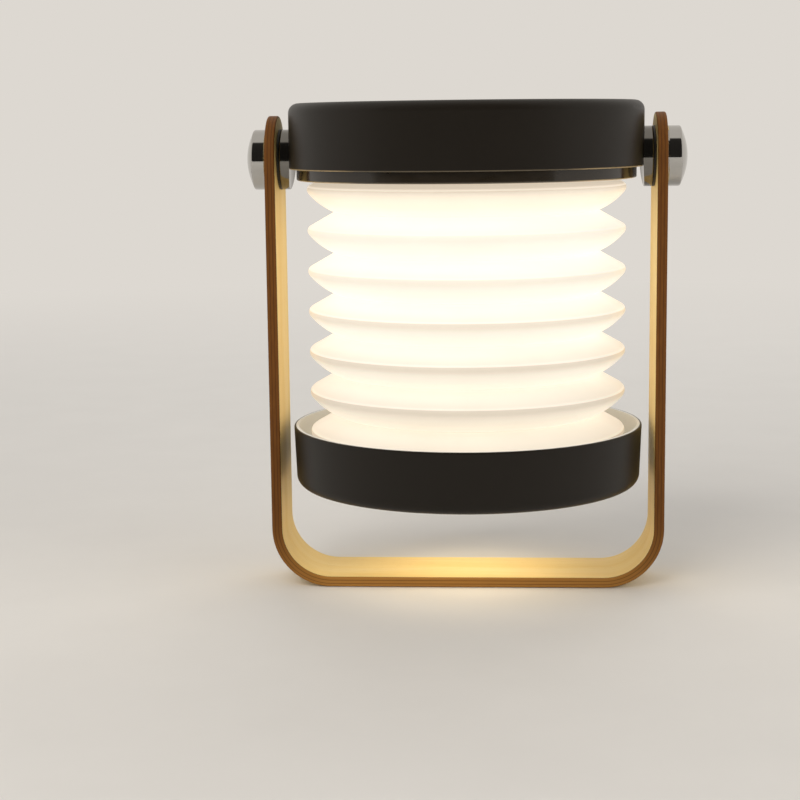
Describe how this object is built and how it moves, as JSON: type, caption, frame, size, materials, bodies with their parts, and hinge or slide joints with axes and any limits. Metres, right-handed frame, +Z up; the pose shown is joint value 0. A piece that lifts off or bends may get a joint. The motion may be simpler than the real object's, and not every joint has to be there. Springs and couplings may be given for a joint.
{
  "type": "folding table lamp",
  "caption": "Folding lantern lamp: dark round housing and cup joined by a pleated glowing bellows, turning between the legs of a U-shaped bent-wood handle that is also its stand.",
  "frame": {"origin": "on the table, under the middle of the handle's foot", "axes": "+Z up, +X along the pivot axis to the right knob, -Y towards the viewer"},
  "size_m": [0.1368, 0.11, 0.1517],
  "materials": {
    "bent_wood": "clear-lacquered layered strip",
    "dark_shell": "fine satin moulding",
    "dark_gloss": "polished",
    "shade": "translucent satin",
    "white_plastic": "satin",
    "polished_chrome": "mirror polish",
    "steel": "bright zinc",
    "brass": "turned",
    "nylon": "black, low friction",
    "touch_metal": "satin",
    "light_board": "white solder mask",
    "emitter": "phosphor",
    "circuit_board": "solder mask",
    "cell_wrap": "foil pouch"
  },
  "bodies": {
    "handle": {"handle": "bent_wood", "pivot_bush_left": "nylon", "pivot_bush_right": "nylon"},
    "housing": {"top_housing": "dark_shell", "closing_ring": "dark_gloss", "lamp_plate": "white_plastic", "touch_pad": "touch_metal", "touch_contact": "brass", "led_board": "light_board", "leds": "emitter", "control_board": "circuit_board", "battery": "cell_wrap", "usb_socket": "steel", "bellows": "shade", "upper_clamp_ring": "white_plastic", "upper_clamp_screws": "steel", "plate_screws": "steel", "pivot_bolt_left": "steel", "pivot_bolt_right": "steel", "pivot_insert_left": "brass", "pivot_insert_right": "brass", "friction_washer_left": "nylon", "friction_washer_right": "nylon", "spacer_left": "dark_gloss", "spacer_right": "dark_gloss", "knob_left": "polished_chrome", "knob_right": "polished_chrome"},
    "cup": {"cup": "dark_shell", "lower_clamp_ring": "white_plastic", "lower_clamp_screws": "steel", "reflector_disc": "white_plastic"}
  },
  "joints": [
    {"name": "head_swing", "type": "hinge", "parent": "handle", "child": "housing", "pos_m": [0, 0, 0.134], "axis": [1, 0, 0], "continuous": true},
    {"name": "cup_slide", "type": "slide", "parent": "housing", "child": "cup", "axis": [0, 0, 1], "range_m": [0, 0.08], "deforming": ["bellows"]}
  ]
}
